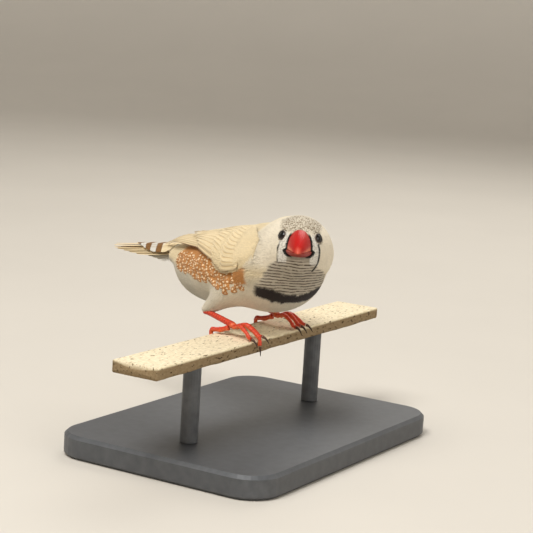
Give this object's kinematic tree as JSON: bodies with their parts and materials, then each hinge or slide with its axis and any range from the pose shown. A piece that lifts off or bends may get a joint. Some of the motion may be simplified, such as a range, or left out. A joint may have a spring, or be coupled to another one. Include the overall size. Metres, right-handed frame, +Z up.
{
  "type": "perched zebra finch",
  "caption": "Life-size still model of a pale male zebra finch perched with its head turned to its right, on a cut length of flat lath held by a plain display stand.",
  "frame": {"origin": "middle of the whole box in plan, at the underside of the stand's base", "axes": "+X along the lath towards the bird's left foot, +Y towards the tail end, +Z up"},
  "size_m": [0.124, 0.1102, 0.0722],
  "materials": {
    "plumage": "soft matt feathers, cream with grey-brown markings",
    "wing_feathers": "matt feathers, cream-fawn",
    "tail_feathers": "matt feathers, white and pale with brown bars",
    "bill": "horn, waxy red",
    "eye": "wet dark eye",
    "lid": "bare skin, matt",
    "leg_scales": "scaled skin, orange-red",
    "claw": "horn, dark brown, satin",
    "lath": "rough pale wood with dark flecks",
    "stand_base": "dark stained wood, satin",
    "stand_rod": "satin steel"
  },
  "bodies": {
    "root": {"torso": "plumage", "neck": "plumage", "head": "plumage", "bill_upper": "bill", "bill_lower": "bill", "eye_left": "eye", "lids_left": "lid", "wing_left": "wing_feathers", "eye_right": "eye", "lids_right": "lid", "wing_right": "wing_feathers", "tail": "tail_feathers", "tarsus_right": "leg_scales", "thigh_right": "plumage", "toe_1_right": "leg_scales", "claw_1_right": "claw", "toe_2_right": "leg_scales", "claw_2_right": "claw", "toe_3_right": "leg_scales", "claw_3_right": "claw", "toe_4_right": "leg_scales", "claw_4_right": "claw", "tarsus_left": "leg_scales", "thigh_left": "plumage", "toe_1_left": "leg_scales", "claw_1_left": "claw", "toe_2_left": "leg_scales", "claw_2_left": "claw", "toe_3_left": "leg_scales", "claw_3_left": "claw", "toe_4_left": "leg_scales", "claw_4_left": "claw", "perch": "lath", "stand_base": "stand_base", "stand_rod_1": "stand_rod", "stand_rod_2": "stand_rod"}
  },
  "joints": []
}
